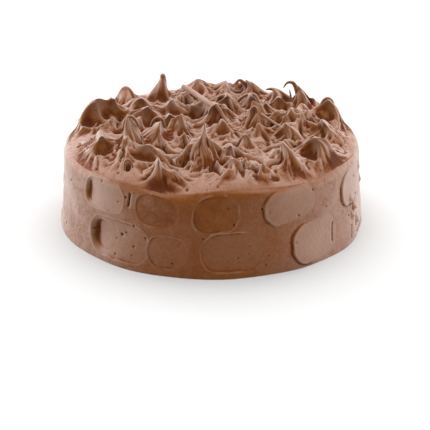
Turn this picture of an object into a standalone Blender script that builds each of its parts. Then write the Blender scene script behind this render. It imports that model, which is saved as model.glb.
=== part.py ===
# A round chocolate cake in frosting: broad knife dabs round the wall, and over the top peaks pulled
# up with a spoon. Metres, +Z up. The cake stands on z = 0, and its front looks towards -Y.

import math
from collections import namedtuple

import bmesh
import bpy
import numpy as np

MM = 0.001

# Driving dimensions of the cake
FOOT_RADIUS = 104 * MM
CREASE_RADIUS = 100.4 * MM
CREASE_HEIGHT = 56.5 * MM
WALL_RADIUS = (FOOT_RADIUS + CREASE_RADIUS) / 2
EDGE_ROUND = 2.4 * MM
EDGE_FALL = 6 * MM
EDGE_POWER = 2.2
EDGE_RADIUS = CREASE_RADIUS - EDGE_ROUND
CROWN_HEIGHT = 63 * MM
CROWN_RADIUS = 72 * MM
SHOULDER_POWER = 2.8

# How finely the drum is divided before it is thinned, and what is left of it
GRID_STEPS = 140
WALL_ROWS = 32
TRIANGLES = 10800
SMOOTH_HEIGHT = 54 * MM

# Peaks: how they blend, thin out at the shoulder, fold, and how far the grid closes up on them
BLEND_POWER = 1.7
SHOULDER_BAND = 9 * MM
SHOULDER_SHARE = 0.12
FOLDS = ((2, 0.10), (3, 0.10), (5, 0.085), (7, 0.06), (10, 0.05), (13, 0.04), (17, 0.03))
FOLD_SPREAD = (0.6, 1.3)
ROUND_FOLDS = 6
FOLD_START = 5 * MM
FOLD_TWIST = 0.5
TIP_SHARE = 0.55
TIP_LOSS = 0.94
SHARP_TIP = 1.1
ROUND_TIP = 3.6
SPOONED = 0.9
PINCH = 0.72
PINCH_SHARE = 0.6
PINCH_BAND = 6 * MM

# The hollow that the spoon leaves beside a peak, as shares of its reach and height
HOLLOW_MIDDLE = 0.42
HOLLOW_EXIT = 0.44
HOLLOW_WIDTHS = (0.24, 0.42)
HOLLOW_FLOOR = 0.1
HOLLOW_RISE = 1.02
HOLLOW_MOST = 0.75
HOLLOW_STEP = 2 * MM
SHALLOW = 0.5
LIP = 0.6 * MM
LIP_WIDTH = 1.3 * MM

# How a peak curls over: where up its height, how it tightens, and the arc it is read from
BEND_START = 0.35
BEND_POWER = 1.3
BEND_STEPS = 64
BEND_END = 1.1
NEAR_END = 1.25
NEAR_REACH = 0.8
NEAR_NOTHING = 0.01 * MM

# Unevenness of the top: its forms are drawn about a little, and small crests run between them
SWIRL = 1.1 * MM
SWIRL_LENGTH = 17 * MM
CREST = 0.8 * MM
CREST_LENGTH = 15 * MM
CREST_BAND = 24 * MM
SWIRL_SEED = 21
CREST_SEED = 31
EDGE_WAVE = 0.8 * MM
EDGE_WAVE_LENGTH = 75 * MM
EDGE_WAVE_SEED = 41
OUTLINE_WAVE = 0.004
SMOOTH_ROUNDS = 2
SMOOTH_FACTOR = 0.5
WAVE_COUNT = 14
WAVE_SPREAD = (0.7, 1.35)

# Curled edges that run over the top at random, besides the placed ones
SEAM_SEED = 17
SEAM_COUNT = 30
SEAM_SPACING = 6.5 * MM
SEAM_AREA = 78 * MM
SEAM_WOBBLE = 0.7 * MM
SEAM_WOBBLE_LENGTH = 9 * MM
SEAM_ENDS = 0.6
SEAM_NARROWEST = 1.3 * MM
SEAM_VALLEY = 0.7
SEAM_LENGTHS = (8, 18)
SEAM_RISES = (0.8, 2)
SEAM_SINKS = (1.5, 4)
SEAM_WIDTHS = (0.9, 1.8)

# The dabs: flat faces that the knife left, pressed in or standing proud at their left end
DAB_FLAT = 0.2
DAB_EDGE = 1.1 * MM
DAB_RIM = 0.28 * MM
DAB_RIM_WIDTH = 0.5 * MM
RIM_SHARE = 0.5
RIM_CHANGE = 0.5
RIM_LENGTH = 16 * MM
DAB_CORNER = 0.9
DAB_RAGGED = 0.16 * MM
DAB_RAGGED_LENGTH = 11 * MM
BACK_DAB = 24
BACK_DAB_STEP = 32
BACK_ROWS = ((98, 286, 3, 29), (92, 270, 32, 54))
LUMP_ABOVE = 0.6
LUMP_BELOW = 1.4
LUMP_REACH = 1.6
LUMP_POWER = 1.3
WALL_FLARE = 1.5
WALL_JOIN = 2 * MM
OUTLINE_FADE = 4
WAVE = 0.45 * MM
WAVE_LENGTH = 60 * MM
WAVE_SEED = 3

FROSTING_COLOUR = (0.22, 0.10, 0.055, 1.0)
FROSTING_ROUGHNESS = 0.45

Peak = namedtuple("Peak", "x y height reach lean bend hollow stretch axis power tip fold seed")
Dab = namedtuple("Dab", "start end low high press fade scoop tilt rim rim_end")
Seam = namedtuple("Seam", "x y end_x end_y rise sink width")
Lump = namedtuple("Lump", "angle height size rise")
Hole = namedtuple("Hole", "x y length width way depth")


def peak(x, y, height, reach, lean=0, bend=0, hollow=0, stretch=1, axis=0, power=2.4, tip=0, fold=1):
    """One peak: foot and sizes in mm, the way it leans and its long axis in degrees from +X."""
    seed = int(round(abs(x) * 31 + abs(y) * 17 + height * 7))
    tip = tip or (ROUND_TIP if hollow > SPOONED else SHARP_TIP)
    return Peak(
        x * MM, y * MM, height * MM, reach * MM, math.radians(lean), math.radians(bend), hollow,
        stretch, math.radians(axis), power, tip * MM, fold, seed,
    )


def dab(start, end, low, high, press=0.3, fade=1.6, scoop=1.1, tilt=0, rim=1, rim_end=0.1):
    """One dab: from and to in degrees from the front towards +X, its edges and depth in mm."""
    return Dab(
        math.radians(start), math.radians(end), low * MM, high * MM, press * MM, fade, scoop * MM,
        math.radians(tilt), rim, rim_end,
    )


def seam(x, y, end_x, end_y, rise=1, sink=2.5, width=1.5):
    """One curled edge, from and to in mm: raised along its left side, sunk along its right."""
    return Seam(x * MM, y * MM, end_x * MM, end_y * MM, rise * MM, sink * MM, width * MM)


def hole(x, y, length, width, way, depth):
    """One narrow opening between folds: middle, half length and width in mm, way in degrees from +X."""
    return Hole(x * MM, y * MM, length * MM, width * MM, math.radians(way), depth * MM)


def lump(angle, height, size, rise):
    """One torn lump on the wall, in degrees from the front and mm."""
    return Lump(math.radians(angle), height * MM, size * MM, rise * MM)


PEAKS = [
    peak(-79, 11, 20, 21, lean=-100, bend=50, hollow=1.5, stretch=1.3, axis=25),
    peak(-67, 16, 15, 18, lean=-80, bend=35, hollow=1.3),
    peak(-60, 52, 13, 14, power=2.6, tip=3),
    peak(-49, 32, 12, 16, lean=-85, bend=60, hollow=1.3),
    peak(-34.5, 62, 18.5, 15, lean=180, bend=3, power=4.5, tip=2.6, fold=0.5),
    peak(-28, 36, 11, 13, lean=-60, bend=30, hollow=1),
    peak(-8, 67, 14, 20, power=1.9, tip=3.5),
    peak(-9, 34, 18, 17, lean=-125, bend=45, hollow=1.6, stretch=2.2, axis=-41),
    peak(12, 67, 13, 19, power=1.9, tip=3.5),
    peak(27, 64, 15, 19, lean=180, bend=70, hollow=0.5, power=2.7, tip=0.8),
    peak(10, 37, 14, 15, lean=-90, bend=60, hollow=1.3),
    peak(4, 13, 16, 18, lean=-100, bend=50, hollow=1.4),
    peak(29, 37, 13, 17, lean=-90, bend=55, hollow=0.9, tip=2.6),
    peak(46, 52, 15, 17, lean=180, bend=60, hollow=0.5, tip=0.8),
    peak(50, 37, 14, 15, lean=-100, bend=55, hollow=1.1),
    peak(62, 44, 21, 18, lean=175, bend=55, hollow=0.3, power=3.2, tip=0.8),
    peak(81, 19, 19, 19, lean=-110, bend=45, hollow=0.3, power=2.6, tip=1.6),
    peak(73, 44, 8, 13),
    peak(-36, -26, 18, 20, lean=-20, bend=25, hollow=0.4),
    peak(-23, -16, 23, 18, lean=-60, bend=15, hollow=0.4, power=3, fold=1.5),
    peak(-5, -56, 29, 26, lean=-90, bend=8, power=2.7, fold=1.2),
    peak(-54, -40, 28, 15, lean=170, bend=8, stretch=2.1, axis=-84, power=3, tip=1.6),
    peak(-72, -39, 14, 20, lean=-90, bend=60, hollow=1.6),
    peak(30, 3, 18, 20, lean=160, bend=30, hollow=0.8),
    peak(57, -1, 17, 24, lean=-90, bend=10, fold=1.8),
    peak(48, -61, 17.5, 22, lean=180, bend=40, hollow=0.4, power=2.7),
    peak(70, -49, 17, 20, lean=-130, bend=55, hollow=1.2),
    peak(-33, -84, 17, 15, lean=-80, bend=45, hollow=1.1, tip=2, power=2.7),
    peak(-42, -57, 12, 13, lean=-110, bend=40, hollow=1.3, stretch=2.1, axis=-32),
    peak(14, -76, 9, 11, lean=-150, bend=30, hollow=0.6, stretch=1.8, axis=38),
    peak(32, -80, 9, 12, lean=-60, bend=30, hollow=0.6),
    peak(-28, 0, 14, 15, lean=-90, bend=45, hollow=1.3),
    peak(-45, 9, 15, 19, lean=-70, bend=50, hollow=1.4),
    peak(-49, -9, 12, 14, lean=40, bend=40, hollow=0.8),
    peak(36, 20, 13, 16, lean=-90, bend=50, hollow=1.3),
    peak(61, 22, 9, 17, lean=-120, bend=20),
    peak(6, -10, 12, 16, lean=-80, bend=35, hollow=0.5, tip=2),
    peak(22, -32, 10, 17, lean=-60, bend=35, hollow=0.3, tip=2),
    peak(12, -51, 11, 16, lean=-70, bend=40, hollow=0.7, tip=2),
    peak(32, -17, 10, 16, lean=150, bend=30, hollow=0.4),
    peak(50, -19, 12, 16, lean=-120, bend=40, hollow=0.5, tip=2),
    peak(48, -38, 9, 17, lean=180, bend=40),
    peak(66, -32, 9, 16, lean=-60, bend=30),
    peak(77, -11, 11, 17, lean=-120, bend=40, hollow=0.4, tip=2),
]

SEAMS = [
    seam(-52, -41, -29, -57, rise=2.5, sink=4.5, width=2.8),
    seam(-28, -66, -12, -60, rise=1.5, sink=4.5, width=1.7),
    seam(34, 8, 51, 14, rise=2, sink=3, width=1.5),
    seam(34, 8, 54, -20, rise=2.5, sink=2.5, width=1.8),
    seam(-18, 30, 3, 18, rise=3, sink=2, width=1.5),
    seam(-11, 53, 4, 43, rise=3, sink=2.5, width=1.5),
    seam(-20, -33, -7, -33, rise=1, sink=6, width=2.3),
    seam(1, 8, 4, -11, rise=1.5, sink=4, width=1.2),
    seam(0, -53, 9, -63, rise=1, sink=5.5, width=2.1),
    seam(14, -48, 23, -52, rise=1.5, sink=4.5, width=1.7),
    seam(-57, -31, -58, -64, rise=1.2, sink=4.5, width=1.1),
    seam(-55, -28, -53, -39, rise=1, sink=3.5, width=0.9),
    seam(-31, -80, -25, -94, rise=0.8, sink=3, width=1.4),
    seam(11, -53, 23, -73, rise=1.5, sink=3, width=1.5),
    seam(-4, -45, 7, -86, rise=1.2, sink=2.6, width=1.3),
    seam(18, -66, 33, -82, rise=1, sink=3, width=1.6),
    seam(25, -62, 27, -79, rise=1, sink=2.8, width=1.3),
    seam(31, -52, 35, -78, rise=1, sink=3.5, width=2),
    seam(16, -12, 28, -25, rise=1.5, sink=2.5, width=1.5),
    seam(33, -21, 41, -29, rise=1.2, sink=2.5, width=1.3),
    seam(57, 15, 65, 0, rise=1, sink=3, width=1.2),
    seam(59, -10, 65, -22, rise=1, sink=2.8, width=1.2),
    seam(72, -4, 79, -33, rise=1.5, sink=2.2, width=1.5),
    seam(83, -13, 90, -19, rise=0.8, sink=3, width=1.4),
    seam(-75, -51, -84, -64, rise=1.6, sink=1.4, width=1.8),
]

HOLES = [
    hole(-16.5, -37, 5, 3, -60, 5),
    hole(5.4, -67, 4.5, 2.8, -8, 5),
    hole(18.3, -50, 4.5, 2.6, 30, 4),
    hole(20.6, -77, 9, 1.4, 85, 3),
    hole(28.6, -80, 8, 1.7, 88, 3.5),
    hole(44.2, -58, 3, 1.3, 90, 4),
    hole(-19, -62, 5.5, 2.6, 10, 5),
    hole(-56.4, -54.5, 8.5, 1.1, 84, 4),
    hole(-53.8, -68, 3.6, 1.7, 90, 4),
    hole(-13, 36, 12, 6, -62, 8),
    hole(40, -83, 3, 1.5, 30, 2),
    hole(2, -76, 9, 1.7, -65, 3),
]

DABS = [
    dab(-51, -23, 4, 31, press=6, fade=2.2, scoop=5, rim=0.2, rim_end=2),
    dab(-24, -8, 5, 28, rim=0.8, rim_end=0.2),
    dab(-4, 19, 4, 30, rim_end=0.5),
    dab(30, 54, 2, 31, press=-1.6, fade=1.4, tilt=4, rim=0.6, rim_end=0),
    dab(67, 92, 1, 26, rim=0.4),
    dab(-55, -34, 34, 55, press=4, fade=3.2, scoop=3, rim=0.3, rim_end=2.5),
    dab(-29, -12, 33, 55, rim_end=0),
    dab(-7, 10, 30, 54, rim=1.3, rim_end=0.9),
    dab(19, 42, 33, 56, press=-1.3, fade=1.4, tilt=8, rim_end=0),
    dab(57, 84, 29, 54, press=-1.4, fade=1.4, tilt=12, rim=1, rim_end=0),
]

LUMPS = [
    lump(65.6, 29, 2.4, 1.9),
    lump(68.5, 22, 2.2, 2.4),
    lump(66, 17.5, 1.8, 1.8),
    lump(72, 10, 2.6, 2.2),
    lump(78, 45, 3, 1.2),
    lump(82, 33, 2.4, 1.4),
]


def back_dabs():
    """The same two rows of dabs, carried on round the side that the front hides."""
    return [
        dab(start, start + BACK_DAB, low, high)
        for first, last, low, high in BACK_ROWS
        for start in range(first, last, BACK_DAB_STEP)
    ]


def ease(share):
    """Goes smoothly from 0 to 1 as the share does: 3 s^2 - 2 s^3."""
    share = np.clip(share, 0, 1)
    return share * share * (3 - 2 * share)


def waves(x, y, length, seed):
    """Gentle unevenness about 0: plane waves in random directions, summed."""
    rng = np.random.default_rng(seed)
    total = np.zeros_like(x)
    for _ in range(WAVE_COUNT):
        way, phase = rng.uniform(0, 2 * math.pi, 2)
        turn = 2 * math.pi / length * rng.uniform(*WAVE_SPREAD)
        total += np.sin(turn * (x * math.cos(way) + y * math.sin(way)) + phase)
    return total / math.sqrt(WAVE_COUNT / 2)


def crown(radius):
    """The height of the top without its peaks: flat, then falling to the crease over the shoulder."""
    share = np.clip((radius - CROWN_RADIUS) / (EDGE_RADIUS - CROWN_RADIUS), 0, 1)
    return CROWN_HEIGHT - (CROWN_HEIGHT - CREASE_HEIGHT) * share**SHOULDER_POWER


def turned(x, y, angle):
    """The same place along and across a direction."""
    return (
        math.cos(angle) * x + math.sin(angle) * y,
        math.cos(angle) * y - math.sin(angle) * x,
    )


def tent(p, x, y):
    """A peak's own height: (1 - d / reach) to a power, with d longer and shorter round the foot."""
    along, across = turned(x - p.x, y - p.y, p.axis)
    along = along / p.stretch
    away = np.hypot(along, across)
    rng = np.random.default_rng(p.seed)
    twist = rng.uniform(-FOLD_TWIST, FOLD_TWIST)
    around = np.arctan2(across, along) + twist * away / p.reach
    fold = np.zeros_like(away)
    for count, depth in FOLDS:
        phase, depth = rng.uniform(0, 2 * math.pi), depth * p.fold * rng.uniform(*FOLD_SPREAD)
        if count < ROUND_FOLDS:
            fold += depth * np.cos(count * around + phase)
        else:
            fold += depth * (1 - 2 * np.abs(np.sin(count * around / 2 + phase)))
    away = away * (1 + fold * ease(away / FOLD_START))
    away = np.hypot(away, p.tip) - TIP_SHARE * p.tip
    most = 1 - (1 - TIP_SHARE) * p.tip / p.reach
    return TIP_LOSS * p.height * (np.clip(1 - away / p.reach, 0, 1) / most) ** p.power


def bowl(p, x, y):
    """The spoon's own hollow on the side that the peak leans to: a parabola both ways."""
    along, across = turned(x - p.x, y - p.y, p.lean)
    middle = HOLLOW_MIDDLE * p.reach
    floor = crown(np.hypot(p.x, p.y)) + (SHALLOW - p.hollow) * HOLLOW_STEP + HOLLOW_FLOOR * p.height
    back = HOLLOW_RISE * p.height * (np.clip(middle - along, 0, None) / middle) ** 2
    front = np.clip(along - middle, 0, None) ** 2 / (HOLLOW_EXIT * p.reach)
    narrow, wide = HOLLOW_WIDTHS
    width = p.stretch * p.reach * (narrow + (wide - narrow) * ease(along / middle))
    return floor + back + front + across**2 / (2 * width)


def lean_over(p, x, y, z):
    """How far each point moves when the peak curls over: its height becomes the length of an arc."""
    along, _ = turned(x - p.x, y - p.y, p.lean)
    root = crown(np.hypot(p.x, p.y)) + BEND_START * p.height
    length = (1 - BEND_START) * p.height
    share = np.clip((z - root) / length, 0, BEND_END)
    steps, step = np.linspace(0, BEND_END, BEND_STEPS, retstep=True)
    angles = p.bend * (steps[1:] - step / 2) ** BEND_POWER
    out = np.concatenate([[0], np.cumsum(np.sin(angles) * step)])
    up = np.concatenate([[0], np.cumsum(np.cos(angles) * step)])
    angle = p.bend * share**BEND_POWER
    sideways = np.interp(share, steps, out) * length + along * (np.cos(angle) - 1)
    upwards = np.interp(share, steps, up) * length - share * length - along * np.sin(angle)
    return sideways, upwards


def all_seams():
    """The placed curled edges, and shorter ones at random places that keep their distance."""
    rng = np.random.default_rng(SEAM_SEED)
    seams = list(SEAMS)
    while len(seams) < len(SEAMS) + SEAM_COUNT:
        radius, angle = SEAM_AREA * math.sqrt(rng.random()), rng.uniform(0, 2 * math.pi)
        x, y = radius * math.cos(angle) / MM, radius * math.sin(angle) / MM
        way, length = rng.uniform(0, 2 * math.pi), rng.uniform(*SEAM_LENGTHS)
        made = seam(
            x, y, x + length * math.cos(way), y + length * math.sin(way),
            rise=rng.uniform(*SEAM_RISES), sink=rng.uniform(*SEAM_SINKS),
            width=rng.uniform(*SEAM_WIDTHS),
        )
        middle_x, middle_y = (made.x + made.end_x) / 2, (made.y + made.end_y) / 2
        gaps = [
            math.hypot((s.x + s.end_x) / 2 - middle_x, (s.y + s.end_y) / 2 - middle_y) for s in seams
        ]
        if min(gaps) > SEAM_SPACING and math.hypot(middle_x, middle_y) < SEAM_AREA:
            seams.append(made)
    return seams


def seam_relief(s, x, y):
    """A curled edge's height: a bell-shaped ridge beside a bell-shaped valley, fading at both ends."""
    way = math.atan2(s.end_y - s.y, s.end_x - s.x)
    along, across = turned(x - s.x, y - s.y, way)
    share = np.clip(along / math.hypot(s.end_x - s.x, s.end_y - s.y), 0, 1)
    width = max(s.width, SEAM_NARROWEST)
    across = across + SEAM_WOBBLE * np.sin(2 * math.pi * along / SEAM_WOBBLE_LENGTH + s.x / MM)
    ridge = s.rise * np.exp(-((across / width - 1) ** 2))
    valley = s.sink * np.exp(-((across / width + SEAM_VALLEY) ** 2))
    return (ridge - valley) * np.sin(math.pi * share) ** SEAM_ENDS


def hole_relief(h, x, y):
    """How deep a narrow opening is: a bell across it, and a blunter one along it."""
    along, across = turned(x - h.x, y - h.y, h.way)
    return h.depth * np.exp(-((along / h.length) ** 4) - (across / h.width) ** 2)


def pinch(peaks, x, y):
    """Draws the grid in towards each peak, so that a steep tip has points enough."""
    moved_x, moved_y, weight = np.zeros_like(x), np.zeros_like(y), np.zeros_like(x)
    for p in peaks:
        away = np.hypot(p.x - x, p.y - y) / (PINCH_SHARE * p.reach)
        share = np.clip(1 - away**2, 0, 1) ** 2
        moved_x += PINCH * share * (p.x - x)
        moved_y += PINCH * share * (p.y - y)
        weight += share
    inside = ease((EDGE_RADIUS - np.hypot(x, y)) / PINCH_BAND) / np.maximum(weight, 1)
    return x + moved_x * inside, y + moved_y * inside


def sculpt_top(x, y):
    """The frosting over a point of the flat disc: crown, peaks, spooned hollows, then the curling."""
    x, y = pinch(PEAKS, x, y)
    radius = np.hypot(x, y)
    inner = ease((EDGE_RADIUS - radius) / SHOULDER_BAND)
    swirled_x = x + SWIRL * inner * waves(x, y, SWIRL_LENGTH, SWIRL_SEED)
    swirled_y = y + SWIRL * inner * waves(x, y, SWIRL_LENGTH, SWIRL_SEED + 1)
    tents = [tent(p, swirled_x, swirled_y) for p in PEAKS]
    height = sum(t**BLEND_POWER for t in tents) ** (1 / BLEND_POWER)
    crests = 1 - np.abs(waves(swirled_x, swirled_y, CREST_LENGTH, CREST_SEED))
    height += CREST * crests * ease((EDGE_RADIUS - radius) / CREST_BAND)
    z = crown(radius) + height * (SHOULDER_SHARE + (1 - SHOULDER_SHARE) * inner)
    for p in PEAKS:
        if p.hollow:
            dish = bowl(p, x, y)
            lip = LIP * inner * np.exp(-(((dish - z) / LIP_WIDTH) ** 2))
            floor = np.maximum(dish, z - HOLLOW_MOST * min(p.hollow, 1) * p.height)
            z = np.minimum(z, z + (floor - z) * inner) + lip
    for s in all_seams():
        z += inner * seam_relief(s, swirled_x, swirled_y)
    total = sum(t**3 for t in tents) + NEAR_NOTHING**3
    new_x, new_y, new_z = x.copy(), y.copy(), z.copy()
    for p, own in zip(PEAKS, tents, strict=True):
        near = ease(NEAR_END - np.hypot(x - p.x, y - p.y) / (NEAR_REACH * p.reach))
        sideways, upwards = lean_over(p, x, y, z)
        share = own**3 / total * near
        new_x += share * sideways * math.cos(p.lean)
        new_y += share * sideways * math.sin(p.lean)
        new_z += share * upwards
    new_z -= sum(hole_relief(h, new_x, new_y) for h in HOLES)
    new_z += EDGE_WAVE * waves(x, y, EDGE_WAVE_LENGTH, EDGE_WAVE_SEED)
    outline = 1 + OUTLINE_WAVE * waves(x, y, EDGE_WAVE_LENGTH, EDGE_WAVE_SEED + 1)
    return new_x * outline, new_y * outline, new_z


def dab_halves(d):
    return (d.end - d.start) / 2 * WALL_RADIUS, (d.high - d.low) / 2


def dab_place(d, angle, z):
    """A place along and up a dab from its middle, and how far outside its ragged outline it lies."""
    half_length, half_height = dab_halves(d)
    turn = (angle - (d.start + d.end) / 2 + math.pi) % (2 * math.pi) - math.pi
    along, up = turned(turn * WALL_RADIUS, z - (d.low + d.high) / 2, d.tilt)
    corner = DAB_CORNER * half_height
    over_along = np.abs(along) - (half_length - corner)
    over_up = np.abs(up) - (half_height - corner)
    outside = np.hypot(np.maximum(over_along, 0), np.maximum(over_up, 0))
    outside += np.minimum(np.maximum(over_along, over_up), 0) - corner
    outside += DAB_RAGGED * waves(along + d.start, up + d.low, DAB_RAGGED_LENGTH, WAVE_SEED)
    return along, up, outside


def dab_relief(d, angle, z):
    """How far one dab moves the wall: a flat face, its left end scooped or proud, in a thin rim."""
    half_length, half_height = dab_halves(d)
    along, up, outside = dab_place(d, angle, z)
    left = np.clip((half_length - along) / (2 * half_length), 0, 1)
    flat = DAB_FLAT * np.clip(half_length**2 - along**2, 0, None) / (2 * WALL_RADIUS)
    across = 1 - np.clip(up / half_height, -1, 1) ** 2 if d.scoop > DAB_EDGE else 1
    pad = flat * ease(-outside / DAB_EDGE)
    pad += d.press * left**d.fade * ease(-outside / d.scoop) * across
    rim = DAB_RIM * d.rim * (d.rim_end + (1 - d.rim_end) * left)
    rim = rim * ease(RIM_SHARE + RIM_CHANGE * waves(along, up + d.start, RIM_LENGTH, WAVE_SEED + 1))
    return rim * np.exp(-((outside / DAB_RIM_WIDTH) ** 2)) - pad


def lump_relief(p, angle, z):
    """How far a torn lump stands out: a cone that is steep below and drawn out above."""
    up = z - p.height
    up = np.where(up > 0, up * LUMP_ABOVE, up * LUMP_BELOW)
    away = np.hypot((angle - p.angle) * FOOT_RADIUS, up)
    return p.rise * np.clip(1 - away / (LUMP_REACH * p.size), 0, 1) ** LUMP_POWER


def wall_relief(angle, z):
    """How far the wall stands out or in: its dabs and torn lumps."""
    relief = sum(dab_relief(d, angle, z) for d in DABS + back_dabs())
    return relief + sum(lump_relief(p, angle, z) for p in LUMPS)


def wall_radius(angle, z, relief):
    """The wall's radius: a slight flare at the foot, slow waves and the relief, rounded at the top."""
    share = z / CREASE_HEIGHT
    radius = CREASE_RADIUS + (FOOT_RADIUS - CREASE_RADIUS) * (1 - share) ** WALL_FLARE
    around_x, around_y = FOOT_RADIUS * np.sin(angle), FOOT_RADIUS * np.cos(angle)
    radius = radius + WAVE * waves(around_x + z, around_y + z, WAVE_LENGTH, WAVE_SEED) + relief
    joined = ease((CREASE_HEIGHT - z) / WALL_JOIN)
    rounded = EDGE_ROUND * np.clip(1 - (CREASE_HEIGHT - z) / EDGE_FALL, 0, 1) ** EDGE_POWER
    return CREASE_RADIUS + (radius - CREASE_RADIUS) * joined - rounded


def disc(x, y):
    """A square grid's points moved onto the disc: each square ring becomes a round one."""
    wide = np.abs(x) > np.abs(y)
    ring = np.where(wide, x, y)
    other = np.where(wide, y, x)
    angle = math.pi / 4 * other / np.where(ring == 0, 1, ring)
    long_side, short_side = ring * np.cos(angle), ring * np.sin(angle)
    return np.where(wide, long_side, short_side), np.where(wide, short_side, long_side)


def make_drum():
    """A square drum: a grid for the top, its border drawn down in rows, and one face below."""
    drum = bmesh.new()
    bmesh.ops.create_grid(drum, x_segments=GRID_STEPS, y_segments=GRID_STEPS, size=1)
    border = [edge for edge in drum.edges if edge.is_boundary]
    for _ in range(WALL_ROWS):
        drawn = bmesh.ops.extrude_edge_only(drum, edges=border)["geom"]
        border = [item for item in drawn if isinstance(item, bmesh.types.BMEdge) and item.is_boundary]
        below = [item for item in drawn if isinstance(item, bmesh.types.BMVert)]
        bmesh.ops.translate(drum, verts=below, vec=(0, 0, -1 / WALL_ROWS))
    bmesh.ops.contextual_create(drum, geom=border)
    bmesh.ops.recalc_face_normals(drum, faces=drum.faces)
    mesh = bpy.data.meshes.new("cake")
    drum.to_mesh(mesh)
    drum.free()
    return mesh


def sculpt(mesh):
    """Moves the drum's points onto the frosting, and its middle over the origin."""
    points = np.empty(len(mesh.vertices) * 3)
    mesh.vertices.foreach_get("co", points)
    points = points.reshape(-1, 3)
    x, y = disc(points[:, 0], points[:, 1])
    wall = points[:, 2] < 0
    share = 1 + points[:, 2]
    angle = np.arctan2(x, -y)
    top_x, top_y, top_z = sculpt_top(x * EDGE_RADIUS, y * EDGE_RADIUS)
    outline = np.hypot(top_x, top_y) - EDGE_RADIUS
    relief = wall_relief(angle, CREASE_HEIGHT * share)
    radius = wall_radius(angle, CREASE_HEIGHT * share, relief) + outline * share**OUTLINE_FADE
    points[:, 0] = np.where(wall, radius * np.sin(angle), top_x)
    points[:, 1] = np.where(wall, -radius * np.cos(angle), top_y)
    points[:, 2] = np.where(wall, top_z * share, top_z)
    points[:, :2] -= (points[:, :2].min(0) + points[:, :2].max(0)) / 2
    mesh.vertices.foreach_set("co", points.ravel())
    mesh.update()


def frosting_material():
    material = bpy.data.materials.new("frosting")
    material.use_nodes = True
    shader = material.node_tree.nodes["Principled BSDF"]
    shader.inputs["Base Color"].default_value = FROSTING_COLOUR
    shader.inputs["Roughness"].default_value = FROSTING_ROUGHNESS
    shader.inputs["Metallic"].default_value = 0
    return material


def make_cake():
    """The cake in its frosting, thinned to the triangles that its shape needs."""
    mesh = make_drum()
    sculpt(mesh)
    mesh.shade_smooth()
    mesh.materials.append(frosting_material())
    cake = bpy.data.objects.new("cake", mesh)
    top = cake.vertex_groups.new(name="top")
    top.add([point.index for point in mesh.vertices if point.co.z > SMOOTH_HEIGHT], 1, "REPLACE")
    smooth = cake.modifiers.new("smooth", "SMOOTH")
    smooth.vertex_group = top.name
    smooth.factor = SMOOTH_FACTOR
    smooth.iterations = SMOOTH_ROUNDS
    thin = cake.modifiers.new("thin", "DECIMATE")
    mesh.calc_loop_triangles()
    thin.ratio = TRIANGLES / len(mesh.loop_triangles)
    return cake


def main():
    for old in list(bpy.data.objects):
        bpy.data.objects.remove(old)
    parts = bpy.data.collections.new("chocolate cake")
    bpy.context.scene.collection.children.link(parts)
    parts.objects.link(make_cake())


main()
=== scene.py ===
import math
from collections import namedtuple

import bpy
import numpy as np
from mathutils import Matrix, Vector


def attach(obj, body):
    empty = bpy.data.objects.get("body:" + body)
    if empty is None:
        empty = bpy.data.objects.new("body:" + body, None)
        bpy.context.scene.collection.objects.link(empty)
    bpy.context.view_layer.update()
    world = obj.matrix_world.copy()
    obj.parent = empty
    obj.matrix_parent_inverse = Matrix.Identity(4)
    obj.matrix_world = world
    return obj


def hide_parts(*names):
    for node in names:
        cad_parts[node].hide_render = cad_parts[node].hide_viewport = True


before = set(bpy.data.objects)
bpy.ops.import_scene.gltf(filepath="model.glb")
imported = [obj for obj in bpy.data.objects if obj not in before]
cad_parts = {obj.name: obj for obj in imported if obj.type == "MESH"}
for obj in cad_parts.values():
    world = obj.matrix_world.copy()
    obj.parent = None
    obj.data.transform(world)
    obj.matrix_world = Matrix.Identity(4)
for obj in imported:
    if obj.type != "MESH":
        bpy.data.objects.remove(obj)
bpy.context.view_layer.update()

# The frosting of a round chocolate cake as it looks, in metres, +Z up, with its front towards -Y

MM = 0.001
BODY = "root"
NODE = "cake"

# Driving dimensions of the cake
FOOT_RADIUS = 104 * MM
CREASE_RADIUS = 100.4 * MM
CREASE_HEIGHT = 56.5 * MM
WALL_RADIUS = (FOOT_RADIUS + CREASE_RADIUS) / 2
EDGE_ROUND = 2.4 * MM
EDGE_FALL = 6 * MM
EDGE_POWER = 2.2
EDGE_RADIUS = CREASE_RADIUS - EDGE_ROUND
CROWN_HEIGHT = 63 * MM
CROWN_RADIUS = 72 * MM
SHOULDER_POWER = 2.8

# How finely the frosting is made
GRID_STEPS = 300
WALL_ROWS = 120
WALL_SPLIT = WALL_ROWS // 2

# Peaks: how they blend, thin out at the shoulder, fold, and how far the grid closes up on them
BLEND_POWER = 1.7
SHOULDER_BAND = 9 * MM
SHOULDER_SHARE = 0.12
FOLDS = ((2, 0.10), (3, 0.10), (5, 0.085), (7, 0.06), (10, 0.05), (13, 0.04), (17, 0.03))
FINE_FOLDS = ((24, 0.034), (33, 0.026))
FOLD_SPREAD = (0.6, 1.3)
ROUND_FOLDS = 6
FOLD_START = 5 * MM
FOLD_TWIST = 0.5
TIP_SHARE = 0.55
TIP_LOSS = 0.94
SHARP_TIP = 1.1
ROUND_TIP = 3.6
SPOONED = 0.9
PINCH = 0.72
PINCH_SHARE = 0.6
PINCH_BAND = 6 * MM

# The hollow that the spoon leaves beside a peak, as shares of its reach and height
HOLLOW_MIDDLE = 0.42
HOLLOW_EXIT = 0.44
HOLLOW_WIDTHS = (0.24, 0.42)
HOLLOW_FLOOR = 0.1
HOLLOW_RISE = 1.02
HOLLOW_MOST = 0.75
HOLLOW_STEP = 2 * MM
SHALLOW = 0.5
LIP = 0.6 * MM
LIP_WIDTH = 1.3 * MM

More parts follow.
